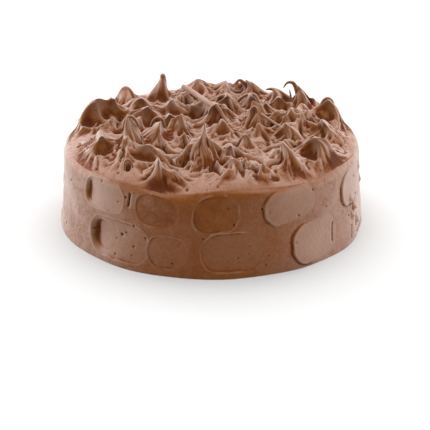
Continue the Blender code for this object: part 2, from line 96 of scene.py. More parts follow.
# Narrow grooves up the sides of a peak, where the spoon drew the frosting out
GROOVES = 4
GROOVE_WIDTHS = (0.6 * MM, 1.1 * MM)
GROOVE_DEPTHS = (0.8 * MM, 2.4 * MM)
GROOVE_START = 0.12
GROOVE_END = 0.85

# Fine lines up the sides of a peak: how many run round it, how deep, and how strongly they are painted
# pale on their ridges and dark in their grooves
STRAND_COUNTS = (23, 31, 43, 59, 79)
STRAND_LEAST = 1.1 * MM
STRAND_WOBBLE = 0.12
STRAND_WOBBLE_LENGTH = 7 * MM
STRAND_SHARES = (0.4, 1)
STRAND_DEPTH = 0.12 * MM
STRAND_PAINTED_LIGHT = 0.55
STRAND_HEIGHT = 3 * MM
STRAND_END = 2
STRAND_SEED = 51

# How a peak curls over: where up its height, how it tightens, and the arc it is read from
BEND_START = 0.35
BEND_POWER = 1.3
BEND_STEPS = 64
BEND_END = 1.1
NEAR_END = 1.25
NEAR_REACH = 0.8
NEAR_POWER = 3
NEAR_NOTHING = 0.01 * MM

# Unevenness of the top: its forms are drawn about a little, and small crests run between them
SWIRL = 1.1 * MM
SWIRL_LENGTH = 17 * MM
CREST = 0.8 * MM
CREST_LENGTH = 15 * MM
CREST_BAND = 24 * MM
SWIRL_SEED = 21
CREST_SEED = 31
EDGE_WAVE = 0.8 * MM
EDGE_WAVE_LENGTH = 75 * MM
EDGE_WAVE_SEED = 41
OUTLINE_WAVE = 0.004
SMOOTH_ROUNDS = 2
SMOOTH_FACTOR = 0.5
WAVE_COUNT = 14
WAVE_SPREAD = (0.7, 1.35)

# Curled edges that run over the top at random, besides the placed ones
SEAM_SEED = 17
SEAM_COUNT = 30
SEAM_SPACING = 6.5 * MM
SEAM_AREA = 78 * MM
SEAM_WOBBLE = 0.7 * MM
SEAM_WOBBLE_LENGTH = 9 * MM
SEAM_ENDS = 0.6
SEAM_VALLEY = 0.7
SEAM_LENGTHS = (8, 18)
SEAM_RISES = (0.8, 2)
SEAM_SINKS = (1.5, 4)
SEAM_WIDTHS = (0.9, 1.8)

# The drawn-out strands: how finely made, how their tips round off, and the painted highlight that makes
# them paler
CURL_STEPS = 28
CURL_SIDES = 12
CURL_START = 0.1
CURL_CAP = 3
CURL_END = 0.5
CURL_PAINTED_HIGHLIGHT = 0.3

# Small pits in the shoulder and in the wall, where air bubbles broke
PIT_SEED = 5
PIT_COUNT = 46
WALL_PIT_COUNT = 60
PIT_SIZES = (0.45, 1.0)
PIT_DEPTH = 1.3
PLACED_PIT = 0.7
WALL_PIT = 0.8
WALL_PIT_BAND = (3, 54)
PIT_BAND = (84 * MM, 95 * MM)
PIT_FADE = 3 * MM

# The dabs: flat faces that the knife left, pressed in or standing proud at their left end
DAB_FLAT = 0.2
DAB_EDGE = 1.1 * MM
# How far in from a dab's outline its painted light, sheen where above 0 and shade where below, takes
# full strength
DAB_PAINTED_LIGHT_EDGE = 2 * MM
DAB_RIM = 0.28 * MM
DAB_RIM_WIDTH = 0.5 * MM
RIM_SHARE = 0.5
RIM_CHANGE = 0.5
RIM_LENGTH = 16 * MM
DAB_CORNER = 0.9
DAB_RAGGED = 0.16 * MM
DAB_RAGGED_LENGTH = 11 * MM
BACK_DAB = 24
BACK_DAB_STEP = 32
BACK_ROWS = ((98, 286, 3, 29), (92, 270, 32, 54))

# Torn lumps on the wall: how steep above and below, how far they reach, and how they rise
LUMP_ABOVE = 0.6
LUMP_BELOW = 1.4
LUMP_REACH = 1.6
LUMP_POWER = 1.3

# The wall as a whole: its flare, where it joins the crease, and its slow waves
WALL_FLARE = 1.5
WALL_JOIN = 2 * MM
OUTLINE_FADE = 4
WAVE = 0.45 * MM
WAVE_LENGTH = 60 * MM
WAVE_SEED = 3

# Colours of the frosting: painted shade in its hollows, its plain colour, and painted highlight on what
# stands proud; the random tone of the noise also moves between them
HOLLOW_PAINTED_SHADE = (0.07, 0.013, 0.001, 1)
PLAIN_TONE = (0.175, 0.05, 0.006, 1)
PROUD_PAINTED_HIGHLIGHT = (0.225, 0.111, 0.06, 1)

# A point's standing above its surroundings, which paints shade into hollows and highlight onto crests:
# rounds of blurring, the height that counts, and weight
TOP_STANDING = ((6, 0.25 * MM, 0.65), (40, 1.1 * MM, 0.25), (200, 3.5 * MM, 0.1))
CREST_SHARE = 0.35
# How much paler the top is painted away from its edge, as light falls on it there, and over what band
TOP_PAINTED_LIGHT = 0.26
TOP_PAINTED_LIGHT_BAND = 30 * MM
WALL_ROUNDS = 10
WALL_LEAST = 0.06 * MM
WALL_MOST = 0.15 * MM
WALL_SHARE = 0.75

# How much of the frosting's shade comes from its standing, as painted shade and highlight, and from
# broad patches and fine noise, as random tone
SHADE_MIDDLE = 0.5
SHADE_STANDING = 0.55
SHADE_BROAD = 0.25
SHADE_FINE = 0.45

# Its gloss: dull where it is faced straight on, satin at a slant and where its shade is pale
DULL_GLOSS = 0.12
SATIN_GLOSS = 0.82
SATIN_SHEEN = 0.5
GLOSS_RISE = 3.6
GLOSS_GROWTH = 3
GLOSS_START = 0.6
DULL_ROUGHNESS = 0.65
SATIN_ROUGHNESS = 0.6
GRAIN_ROUGHNESS = 0.15
STREAK_ROUGHNESS = 0.16
STANDING_ROUGHNESS = 0.05
SHEEN_ROUGHNESS = 0.45
FACING_BLEND = 0.5

# Its noises, as scale, detail, roughness and distortion, and the relief that they give
BROAD_NOISE = (30, 3, 0.5, 0)
GRAIN_NOISE = (700, 4, 0.6, 0)
STREAK_NOISE = (160, 4, 0.55, 0.8)
NOISE_MIDDLE = 0.5
BUMP_STRENGTH = 0.5
BUMP_DISTANCE = 0.6 * MM
BUMP_GRAIN = 0.5

# How light enters it: how much it bends, how much goes in, how far by colour, and how far at most
REFRACTION = 1.46
LET_IN = 0.08
LET_IN_COLOURS = (1.0, 0.3, 0.1)
LET_IN_REACH = 2 * MM

# Which of a node's outputs is read
OBJECT_PLACE = 3
ATTRIBUTE_NUMBER = 2
FACING = 1

# The pale floor
FLOOR_HALF = 3
FLOOR_TONE = (0.5, 0.5, 0.5, 1)
FLOOR_ROUGHNESS = 0.8

# The lamps: name, place and size in metres, power in watts; and the white surround's strength
LAMPS = (
    ("left_lamp", (-1.0, 0.3, 0.2), (1.6, 0.36), 14),
    ("right_lamp", (1.05, 0.1, 0.2), (1.6, 0.36), 11.5),
    ("back_lamp", (0, 1.3, 0.8), (2.4, 1.2), 18),
    ("top_lamp", (0, 0.1, 1.3), (2.4, 2.0), 46),
    ("front_lamp", (0, -1.3, 0.4), (1.4, 0.6), 1),
)
LAMP_AIM = Vector((0, 0, 0.05))
SURROUND = 0.22

# The camera, from the photograph's fit: it looks at the middle of the foot from the front
CAMERA_DISTANCE = 1.2
CAMERA_ELEVATION = math.radians(23.55)
CAMERA_LENS = 144.75
SENSOR = 36
PICTURE = 430
MIDDLE_COLUMN = 211.6
MIDDLE_ROW = 214.7

Peak = namedtuple("Peak", "x y height reach lean bend hollow stretch axis power tip fold seed")
Dab = namedtuple("Dab", "start end low high press fade scoop tilt rim rim_end tone")
Seam = namedtuple("Seam", "x y end_x end_y rise sink width")
Cut = namedtuple("Cut", "start low end high depth width")
Lump = namedtuple("Lump", "angle height size rise")
Hole = namedtuple("Hole", "x y length width way depth")
Pit = namedtuple("Pit", "x y size")
Curl = namedtuple("Curl", "path thick thin")


def peak(x, y, height, reach, lean=0, bend=0, hollow=0, stretch=1, axis=0, power=2.4, tip=0, fold=1):
    """One peak: foot and sizes in mm, the way it leans and its long axis in degrees from +X."""
    seed = int(round(abs(x) * 31 + abs(y) * 17 + height * 7))
    tip = tip or (ROUND_TIP if hollow > SPOONED else SHARP_TIP)
    return Peak(
        x * MM, y * MM, height * MM, reach * MM, math.radians(lean), math.radians(bend), hollow,
        stretch, math.radians(axis), power, tip * MM, fold, seed,
    )


def dab(
    start, end, low, high, press=0.3, fade=1.6, scoop=1.1, tilt=0, rim=1, rim_end=0.1, tone=0
):
    """One dab: from and to in degrees from the front towards +X, its edges and depth in mm."""
    return Dab(
        math.radians(start), math.radians(end), low * MM, high * MM, press * MM, fade, scoop * MM,
        math.radians(tilt), rim, rim_end, tone,
    )


def seam(x, y, end_x, end_y, rise=1, sink=2.5, width=1.5):
    """One curled edge, from and to in mm: raised along its left side, sunk along its right."""
    return Seam(x * MM, y * MM, end_x * MM, end_y * MM, rise * MM, sink * MM, width * MM)


def cut(start, low, end, high, depth=1.2, width=0.8):
    """One narrow cut in the wall, from and to in degrees from the front and mm up."""
    return Cut(
        math.radians(start), low * MM, math.radians(end), high * MM, depth * MM, width * MM
    )


def hole(x, y, length, width, way, depth):
    """One narrow opening between folds: middle, half length and width in mm, way in degrees from +X."""
    return Hole(x * MM, y * MM, length * MM, width * MM, math.radians(way), depth * MM)


def lump(angle, height, size, rise):
    """One torn lump on the wall, in degrees from the front and mm."""
    return Lump(math.radians(angle), height * MM, size * MM, rise * MM)


PEAKS = [
    peak(-79, 11, 20, 21, lean=-100, bend=50, hollow=1.5, stretch=1.3, axis=25),
    peak(-67, 16, 15, 18, lean=-80, bend=35, hollow=1.3),
    peak(-60, 52, 13, 14, power=2.6, tip=3),
    peak(-49, 32, 12, 16, lean=-85, bend=60, hollow=1.3),
    peak(-34.5, 62, 18.5, 15, lean=180, bend=3, power=4.5, tip=2.6, fold=0.5),
    peak(-28, 36, 11, 13, lean=-60, bend=30, hollow=1),
    peak(-8, 67, 14, 20, power=1.9, tip=3.5),
    peak(-9, 34, 18, 17, lean=-125, bend=45, hollow=1.6, stretch=2.2, axis=-41),
    peak(12, 67, 13, 19, power=1.9, tip=3.5),
    peak(27, 64, 15, 19, lean=180, bend=70, hollow=0.5, power=2.7, tip=0.8),
    peak(10, 37, 14, 15, lean=-90, bend=60, hollow=1.3),
    peak(4, 13, 16, 18, lean=-100, bend=50, hollow=1.4),
    peak(29, 37, 13, 17, lean=-90, bend=55, hollow=0.9, tip=2.6),
    peak(46, 52, 15, 17, lean=180, bend=60, hollow=0.5, tip=0.8),
    peak(50, 37, 14, 15, lean=-100, bend=55, hollow=1.1),
    peak(62, 44, 21, 18, lean=175, bend=55, hollow=0.3, power=3.2, tip=0.8),
    peak(81, 19, 19, 19, lean=-110, bend=45, hollow=0.3, power=2.6, tip=1.6),
    peak(73, 44, 8, 13),
    peak(-36, -26, 18, 20, lean=-20, bend=25, hollow=0.4),
    peak(-23, -16, 23, 18, lean=-60, bend=15, hollow=0.4, power=3, fold=1.5),
    peak(-5, -56, 29, 26, lean=-90, bend=8, power=2.7, fold=1.2),
    peak(-54, -40, 28, 15, lean=170, bend=8, stretch=2.1, axis=-84, power=3, tip=1.6),
    peak(-72, -39, 14, 20, lean=-90, bend=60, hollow=1.6),
    peak(30, 3, 18, 20, lean=160, bend=30, hollow=0.8),
    peak(57, -1, 17, 24, lean=-90, bend=10, fold=1.8),
    peak(48, -61, 17.5, 22, lean=180, bend=40, hollow=0.4, power=2.7),
    peak(70, -49, 17, 20, lean=-130, bend=55, hollow=1.2),
    peak(-33, -84, 17, 15, lean=-80, bend=45, hollow=1.1, tip=2, power=2.7),
    peak(-42, -57, 12, 13, lean=-110, bend=40, hollow=1.3, stretch=2.1, axis=-32),
    peak(14, -76, 9, 11, lean=-150, bend=30, hollow=0.6, stretch=1.8, axis=38),
    peak(32, -80, 9, 12, lean=-60, bend=30, hollow=0.6),
    peak(-28, 0, 14, 15, lean=-90, bend=45, hollow=1.3),
    peak(-45, 9, 15, 19, lean=-70, bend=50, hollow=1.4),
    peak(-49, -9, 12, 14, lean=40, bend=40, hollow=0.8),
    peak(36, 20, 13, 16, lean=-90, bend=50, hollow=1.3),
    peak(61, 22, 9, 17, lean=-120, bend=20),
    peak(6, -10, 12, 16, lean=-80, bend=35, hollow=0.5, tip=2),
    peak(22, -32, 10, 17, lean=-60, bend=35, hollow=0.3, tip=2),
    peak(12, -51, 11, 16, lean=-70, bend=40, hollow=0.7, tip=2),
    peak(32, -17, 10, 16, lean=150, bend=30, hollow=0.4),
    peak(50, -19, 12, 16, lean=-120, bend=40, hollow=0.5, tip=2),
    peak(48, -38, 9, 17, lean=180, bend=40),
    peak(66, -32, 9, 16, lean=-60, bend=30),
    peak(77, -11, 11, 17, lean=-120, bend=40, hollow=0.4, tip=2),
]

SEAMS = [
    seam(-52, -41, -29, -57, rise=2.5, sink=4.5, width=2.8),
    seam(-28, -66, -12, -60, rise=1.5, sink=4.5, width=1.7),
    seam(34, 8, 51, 14, rise=2, sink=3, width=1.5),
    seam(34, 8, 54, -20, rise=2.5, sink=2.5, width=1.8),
    seam(-18, 30, 3, 18, rise=3, sink=2, width=1.5),
    seam(-11, 53, 4, 43, rise=3, sink=2.5, width=1.5),
    seam(-20, -33, -7, -33, rise=1, sink=6, width=2.3),
    seam(1, 8, 4, -11, rise=1.5, sink=4, width=1.2),
    seam(0, -53, 9, -63, rise=1, sink=5.5, width=2.1),
    seam(14, -48, 23, -52, rise=1.5, sink=4.5, width=1.7),
    seam(-57, -31, -58, -64, rise=1.2, sink=4.5, width=1.1),
    seam(-55, -28, -53, -39, rise=1, sink=3.5, width=0.9),
    seam(-31, -80, -25, -94, rise=0.8, sink=3, width=1.4),
    seam(11, -53, 23, -73, rise=1.5, sink=3, width=1.5),
    seam(-4, -45, 7, -86, rise=1.2, sink=2.6, width=1.3),
    seam(18, -66, 33, -82, rise=1, sink=3, width=1.6),
    seam(25, -62, 27, -79, rise=1, sink=2.8, width=1.3),
    seam(31, -52, 35, -78, rise=1, sink=3.5, width=2),
    seam(16, -12, 28, -25, rise=1.5, sink=2.5, width=1.5),
    seam(33, -21, 41, -29, rise=1.2, sink=2.5, width=1.3),
    seam(57, 15, 65, 0, rise=1, sink=3, width=1.2),
    seam(59, -10, 65, -22, rise=1, sink=2.8, width=1.2),
    seam(72, -4, 79, -33, rise=1.5, sink=2.2, width=1.5),
    seam(83, -13, 90, -19, rise=0.8, sink=3, width=1.4),
    seam(-75, -51, -84, -64, rise=1.6, sink=1.4, width=1.8),
]

# Placed pits of the top, across and back from its middle in mm
TOP_PITS = [
    (-89, -23), (-95, -32), (-90, -41), (-87, -53), (-75, -60), (90, -22), (89, -31), (82, -38),
    (41, -77), (52, -73), (-1, -92), (-3, -97), (4, -95), (-60, -72), (88, 3),
]

HOLES = [
    hole(-16.5, -37, 5, 3, -60, 5),
    hole(5.4, -67, 4.5, 2.8, -8, 5),
    hole(18.3, -50, 4.5, 2.6, 30, 4),
    hole(20.6, -77, 9, 1.4, 85, 3),
    hole(28.6, -80, 8, 1.7, 88, 3.5),
    hole(44.2, -58, 3, 1.3, 90, 4),
    hole(-19, -62, 5.5, 2.6, 10, 5),
    hole(-56.4, -54.5, 8.5, 1.1, 84, 4),
    hole(-53.8, -68, 3.6, 1.7, 90, 4),
    hole(-13, 36, 12, 6, -62, 8),
    hole(40, -83, 3, 1.5, 30, 2),
    hole(2, -76, 9, 1.7, -65, 3),
]

# Each dab's last value is painted light on its face: a painted sheen where above 0, painted shade where
# below
DABS = [
    dab(-51, -23, 4, 31, press=6, fade=2.2, scoop=5, rim=0.2, rim_end=2, tone=0.15),
    dab(-24, -8, 5, 28, rim=0.8, rim_end=0.2, tone=0.1),
    dab(-4, 19, 4, 30, rim_end=0.5, tone=0.15),
    dab(30, 54, 2, 31, press=-1.6, fade=1.4, tilt=4, rim=0.6, rim_end=0, tone=0.3),
    dab(67, 92, 1, 26, rim=0.4),
    dab(-55, -34, 34, 55, press=4, fade=3.2, scoop=3, rim=0.3, rim_end=2.5, tone=0.35),
    dab(-29, -12, 33, 55, rim_end=0, tone=-0.2),
    dab(-7, 10, 30, 54, rim=1.3, rim_end=0.9, tone=-0.1),
    dab(19, 42, 33, 56, press=-1.3, fade=1.4, tilt=8, rim_end=0, tone=0.35),
    dab(57, 84, 29, 54, press=-1.4, fade=1.4, tilt=12, rim=1, rim_end=0, tone=0.2),
]

CUTS = [
    cut(51.5, 22, 50.5, 10, depth=0.8, width=0.6),
    cut(-31.3, 51, -31.9, 43, depth=1.3, width=0.8),
    cut(64.5, 12, 63.5, 4, depth=0.9, width=0.6),
]

# Placed pits of the wall: degrees from the front, height and size in mm
WALL_PITS = [
    (-35, 21.6, 1.4), (-29.5, 16, 1), (-33, 24, 0.8), (-37.6, 17.6, 0.7), (-30, 10, 0.7),
    (-37.7, 7.5, 0.8), (-33, 48, 1), (-36.4, 43.4, 0.8), (-24.5, 24, 1), (6.1, 45.6, 0.8),
    (9.8, 10.4, 0.7), (13.3, 15.5, 0.7), (33.5, 36.3, 0.9), (40.3, 51.4, 0.9), (18.5, 44, 1.1),
    (20.6, 13, 0.8),
]

LUMPS = [
    lump(65.6, 29, 2.4, 1.9),
    lump(68.5, 22, 2.2, 2.4),
    lump(66, 17.5, 1.8, 1.8),
    lump(72, 10, 2.6, 2.2),
    lump(78, 45, 3, 1.2),
    lump(82, 33, 2.4, 1.4),
]

# Thin strands that the spoon drew off: the places they run through, and their radius at each end
CURLS = [
    Curl([(-35, 62, 62), (-34.5, 62, 71), (-34.2, 62, 77), (-34.9, 62, 82)], 3, 1.9),
    Curl([(62, 44, 66), (60, 44, 75), (57.2, 44, 81), (52.9, 44, 81.4), (50.1, 44, 77.3)], 2.4, 0.4),
    Curl([(28, 64, 65), (24.6, 64, 72), (21, 64, 76), (18.6, 64, 75.8), (17.4, 64, 73.4)], 2, 0.5),
    Curl([(55, 52, 66), (48.2, 52, 71.2), (44, 52, 73.5), (40.5, 52, 74), (38, 52, 73.2)], 2.4, 0.4),
    Curl([(55.8, 40, 69), (54.9, 40, 75), (54.2, 40, 78)], 1, 0.25),
    Curl([(74, 19, 70), (76.4, 19, 76.6), (79.6, 19, 78.7), (82.8, 19, 76.4), (85, 18, 69)], 1.2, 1.1),
    Curl([(33, 0, 74.2), (39.5, 0, 73.8), (45, 0, 74.6), (51.5, 0, 75.1)], 1, 0.6),
    Curl([(33.5, -1, 74.6), (42, -9, 71.4), (48.4, -17, 69.8), (52, -25, 64.5)], 1.1, 0.6),
    Curl([(40, -35, 64.5), (43.9, -32, 67.5), (46.5, -30, 68.3), (48, -29, 70)], 0.35, 0.7),
    Curl([(3.5, 40, 67), (5.2, 40, 71.9), (8.5, 38, 74.1), (12.1, 35, 71.8), (15, 29, 66)], 1.1, 1.1),
    Curl([(17.5, 42, 67), (21.9, 40, 72.4), (27.1, 38, 75), (31.1, 35, 74.4), (34.5, 29, 67)], 1.1, 1.1),
    Curl(
        [(-2, 13, 68), (-0.4, 12, 73.9), (2, 11, 76.6), (5, 9, 75), (8.4, 5, 70.3), (14, -3, 65)],
        1.1, 1,
    ),
    Curl([(26.7, 0, 68), (26.6, 0, 77), (28.6, 0, 79.5), (30.6, 0, 76.9), (30, -1, 68)], 0.9, 0.9),
    Curl(
        [(-90.5, 12, 66), (-88.5, 6, 63.5), (-83.6, 2.5, 62.6), (-79.6, 3.5, 63.6), (-77, 8, 67)],
        1.1, 0.9,
    ),
    Curl(
        [(-58, -40, 79), (-56.3, -40, 85), (-53.2, -40, 87.4), (-50.2, -40, 85.4), (-47, -40, 80)],
        1.1, 1,
    ),
    Curl(
        [(-56, -70, 60), (-56, -68.5, 66), (-53.7, -68, 68.2), (-51.4, -68, 65.6), (-50.2, -70, 60)],
        0.8, 0.8,
    ),
    Curl([(-20, 56, 74.4), (-10.9, 42, 73.6), (-3.9, 28, 73.4), (4, 15, 71.6)], 1.8, 1.5),
    Curl([(-41, -2, 66), (-39, -2, 71), (-35.9, -2, 72.4), (-32.9, -3, 70.8), (-31, -5, 64)], 1, 0.9),
]


def back_dabs():
    """The same two rows of dabs, carried on round the side that the front hides."""
    return [
        dab(start, start + BACK_DAB, low, high)
        for first, last, low, high in BACK_ROWS
        for start in range(first, last, BACK_DAB_STEP)
    ]


def ease(share):
    """Goes smoothly from 0 to 1 as the share does: 3 s^2 - 2 s^3."""
    share = np.clip(share, 0, 1)
    return share * share * (3 - 2 * share)


def waves(x, y, length, seed):
    """Gentle unevenness about 0: plane waves in random directions, summed."""
    rng = np.random.default_rng(seed)
    total = np.zeros_like(x)
    for _ in range(WAVE_COUNT):
        way, phase = rng.uniform(0, 2 * math.pi, 2)
        turn = 2 * math.pi / length * rng.uniform(*WAVE_SPREAD)
        total += np.sin(turn * (x * math.cos(way) + y * math.sin(way)) + phase)
    return total / math.sqrt(WAVE_COUNT / 2)


def crown(radius):
    """The height of the top without its peaks: flat, then falling to the crease over the shoulder."""
    share = np.clip((radius - CROWN_RADIUS) / (EDGE_RADIUS - CROWN_RADIUS), 0, 1)
    return CROWN_HEIGHT - (CROWN_HEIGHT - CREASE_HEIGHT) * share**SHOULDER_POWER


def turned(x, y, angle):
    """The same place along and across a direction."""
    return (
        math.cos(angle) * x + math.sin(angle) * y,
        math.cos(angle) * y - math.sin(angle) * x,
    )


def tent(p, x, y):
    """A peak's own height: (1 - d / reach) to a power, with d longer and shorter round the foot."""
    along, across = turned(x - p.x, y - p.y, p.axis)
    along = along / p.stretch
    away = np.hypot(along, across)
    rng = np.random.default_rng(p.seed)
    twist = rng.uniform(-FOLD_TWIST, FOLD_TWIST)
    around = np.arctan2(across, along) + twist * away / p.reach
    fold = np.zeros_like(away)
    for count, depth in FOLDS + FINE_FOLDS:
        phase, depth = rng.uniform(0, 2 * math.pi), depth * p.fold * rng.uniform(*FOLD_SPREAD)
        if count < ROUND_FOLDS:
            fold += depth * np.cos(count * around + phase)
        else:
            fold += depth * (1 - 2 * np.abs(np.sin(count * around / 2 + phase)))
    from_tip = away
    away = away * (1 + fold * ease(away / FOLD_START))
    away = np.hypot(away, p.tip) - TIP_SHARE * p.tip
    most = 1 - (1 - TIP_SHARE) * p.tip / p.reach
    height = TIP_LOSS * p.height * (np.clip(1 - away / p.reach, 0, 1) / most) ** p.power
    return np.maximum(height - grooves(rng, p.reach, around, from_tip), 0)


def grooves(rng, reach, around, away):
    """Narrow valleys that run straight down a peak's side, each with a bell-shaped section."""
    inner, outer = GROOVE_START * reach, GROOVE_END * reach
    window = ease((away - inner) / inner) * ease((outer - away) / (outer / 2))
    total = np.zeros_like(away)
    for _ in range(GROOVES):
        way = rng.uniform(0, 2 * math.pi)
        width, depth = rng.uniform(*GROOVE_WIDTHS), rng.uniform(*GROOVE_DEPTHS)
        turn = (around - way + math.pi) % (2 * math.pi) - math.pi
        total += depth * np.exp(-((turn * away / width) ** 2))
    return total * window


def strands(p, x, y, wobble):
    """Fine lines that run up a peak's sides: waves round it, each where it is wide enough to see."""
    rng = np.random.default_rng(p.seed + 1)
    along, across = turned(x - p.x, y - p.y, p.axis)
    away = np.hypot(along / p.stretch, across)
    around = np.arctan2(across, along / p.stretch) + STRAND_WOBBLE * wobble
    total = np.zeros_like(away)
    for count in STRAND_COUNTS:
        phase, share = rng.uniform(0, 2 * math.pi), rng.uniform(*STRAND_SHARES)
        wide = ease(2 * math.pi * away / count / STRAND_LEAST - 1)
        total += share * wide * np.cos(count * around + phase)
    return total * ease(STRAND_END - away / p.reach)


def bowl(p, x, y):
    """The spoon's own hollow on the side that the peak leans to: a parabola both ways."""
    along, across = turned(x - p.x, y - p.y, p.lean)
    middle = HOLLOW_MIDDLE * p.reach
    floor = crown(np.hypot(p.x, p.y)) + (SHALLOW - p.hollow) * HOLLOW_STEP + HOLLOW_FLOOR * p.height
    back = HOLLOW_RISE * p.height * (np.clip(middle - along, 0, None) / middle) ** 2
    front = np.clip(along - middle, 0, None) ** 2 / (HOLLOW_EXIT * p.reach)
    narrow, wide = HOLLOW_WIDTHS
    width = p.stretch * p.reach * (narrow + (wide - narrow) * ease(along / middle))
    return floor + back + front + across**2 / (2 * width)


def lean_over(p, x, y, z):
    """How far each point moves when the peak curls over: its height becomes the length of an arc."""
    along, _ = turned(x - p.x, y - p.y, p.lean)
    root = crown(np.hypot(p.x, p.y)) + BEND_START * p.height
    length = (1 - BEND_START) * p.height
    share = np.clip((z - root) / length, 0, BEND_END)
    steps, step = np.linspace(0, BEND_END, BEND_STEPS, retstep=True)
    angles = p.bend * (steps[1:] - step / 2) ** BEND_POWER
    out = np.concatenate([[0], np.cumsum(np.sin(angles) * step)])
    up = np.concatenate([[0], np.cumsum(np.cos(angles) * step)])
    angle = p.bend * share**BEND_POWER
    sideways = np.interp(share, steps, out) * length + along * (np.cos(angle) - 1)
    upwards = np.interp(share, steps, up) * length - share * length - along * np.sin(angle)
    return sideways, upwards


def all_seams():
    """The placed curled edges, and shorter ones at random places that keep their distance."""
    rng = np.random.default_rng(SEAM_SEED)
    seams = list(SEAMS)
    while len(seams) < len(SEAMS) + SEAM_COUNT:
        radius, angle = SEAM_AREA * math.sqrt(rng.random()), rng.uniform(0, 2 * math.pi)
        x, y = radius * math.cos(angle) / MM, radius * math.sin(angle) / MM
        way, length = rng.uniform(0, 2 * math.pi), rng.uniform(*SEAM_LENGTHS)
        made = seam(
            x, y, x + length * math.cos(way), y + length * math.sin(way),
            rise=rng.uniform(*SEAM_RISES), sink=rng.uniform(*SEAM_SINKS),
            width=rng.uniform(*SEAM_WIDTHS),
        )
        middle_x, middle_y = (made.x + made.end_x) / 2, (made.y + made.end_y) / 2
        gaps = [
            math.hypot((s.x + s.end_x) / 2 - middle_x, (s.y + s.end_y) / 2 - middle_y) for s in seams
        ]
        if min(gaps) > SEAM_SPACING and math.hypot(middle_x, middle_y) < SEAM_AREA:
            seams.append(made)
    return seams


def seam_relief(s, x, y):
    """A curled edge's height: a bell-shaped ridge beside a bell-shaped valley, fading at both ends."""
    way = math.atan2(s.end_y - s.y, s.end_x - s.x)
    along, across = turned(x - s.x, y - s.y, way)
    share = np.clip(along / math.hypot(s.end_x - s.x, s.end_y - s.y), 0, 1)
    across = across + SEAM_WOBBLE * np.sin(2 * math.pi * along / SEAM_WOBBLE_LENGTH + s.x / MM)
    ridge = s.rise * np.exp(-((across / s.width - 1) ** 2))
    valley = s.sink * np.exp(-((across / s.width + SEAM_VALLEY) ** 2))
    return (ridge - valley) * np.sin(math.pi * share) ** SEAM_ENDS


def top_pits():
    """The placed pits of the shoulder, and more at random all round it."""
    rng = np.random.default_rng(PIT_SEED)
    places = [(x * MM, y * MM) for x, y in TOP_PITS]
    for _ in range(PIT_COUNT):
        radius, angle = rng.uniform(*PIT_BAND), rng.uniform(0, 2 * math.pi)
        places.append((radius * math.cos(angle), radius * math.sin(angle)))
    return [Pit(x, y, rng.uniform(*PIT_SIZES) * MM) for x, y in places]


def pit_relief(pits, x, y):
    """How deep the pits are: each is a bell, a little deeper than it is wide."""
    return sum(
        PIT_DEPTH * p.size * np.exp(-((x - p.x) ** 2 + (y - p.y) ** 2) / p.size**2) for p in pits
    )


def hole_relief(h, x, y):
    """How deep a narrow opening is: a bell across it, and a blunter one along it."""
    along, across = turned(x - h.x, y - h.y, h.way)
    return h.depth * np.exp(-((along / h.length) ** 4) - (across / h.width) ** 2)


def pinch(peaks, x, y):
    """Draws the grid in towards each peak, so that a steep tip has points enough."""
    moved_x, moved_y, weight = np.zeros_like(x), np.zeros_like(y), np.zeros_like(x)
    for p in peaks:
        away = np.hypot(p.x - x, p.y - y) / (PINCH_SHARE * p.reach)
        share = np.clip(1 - away**2, 0, 1) ** 2
        moved_x += PINCH * share * (p.x - x)
        moved_y += PINCH * share * (p.y - y)
        weight += share
    inside = ease((EDGE_RADIUS - np.hypot(x, y)) / PINCH_BAND) / np.maximum(weight, 1)
    return x + moved_x * inside, y + moved_y * inside


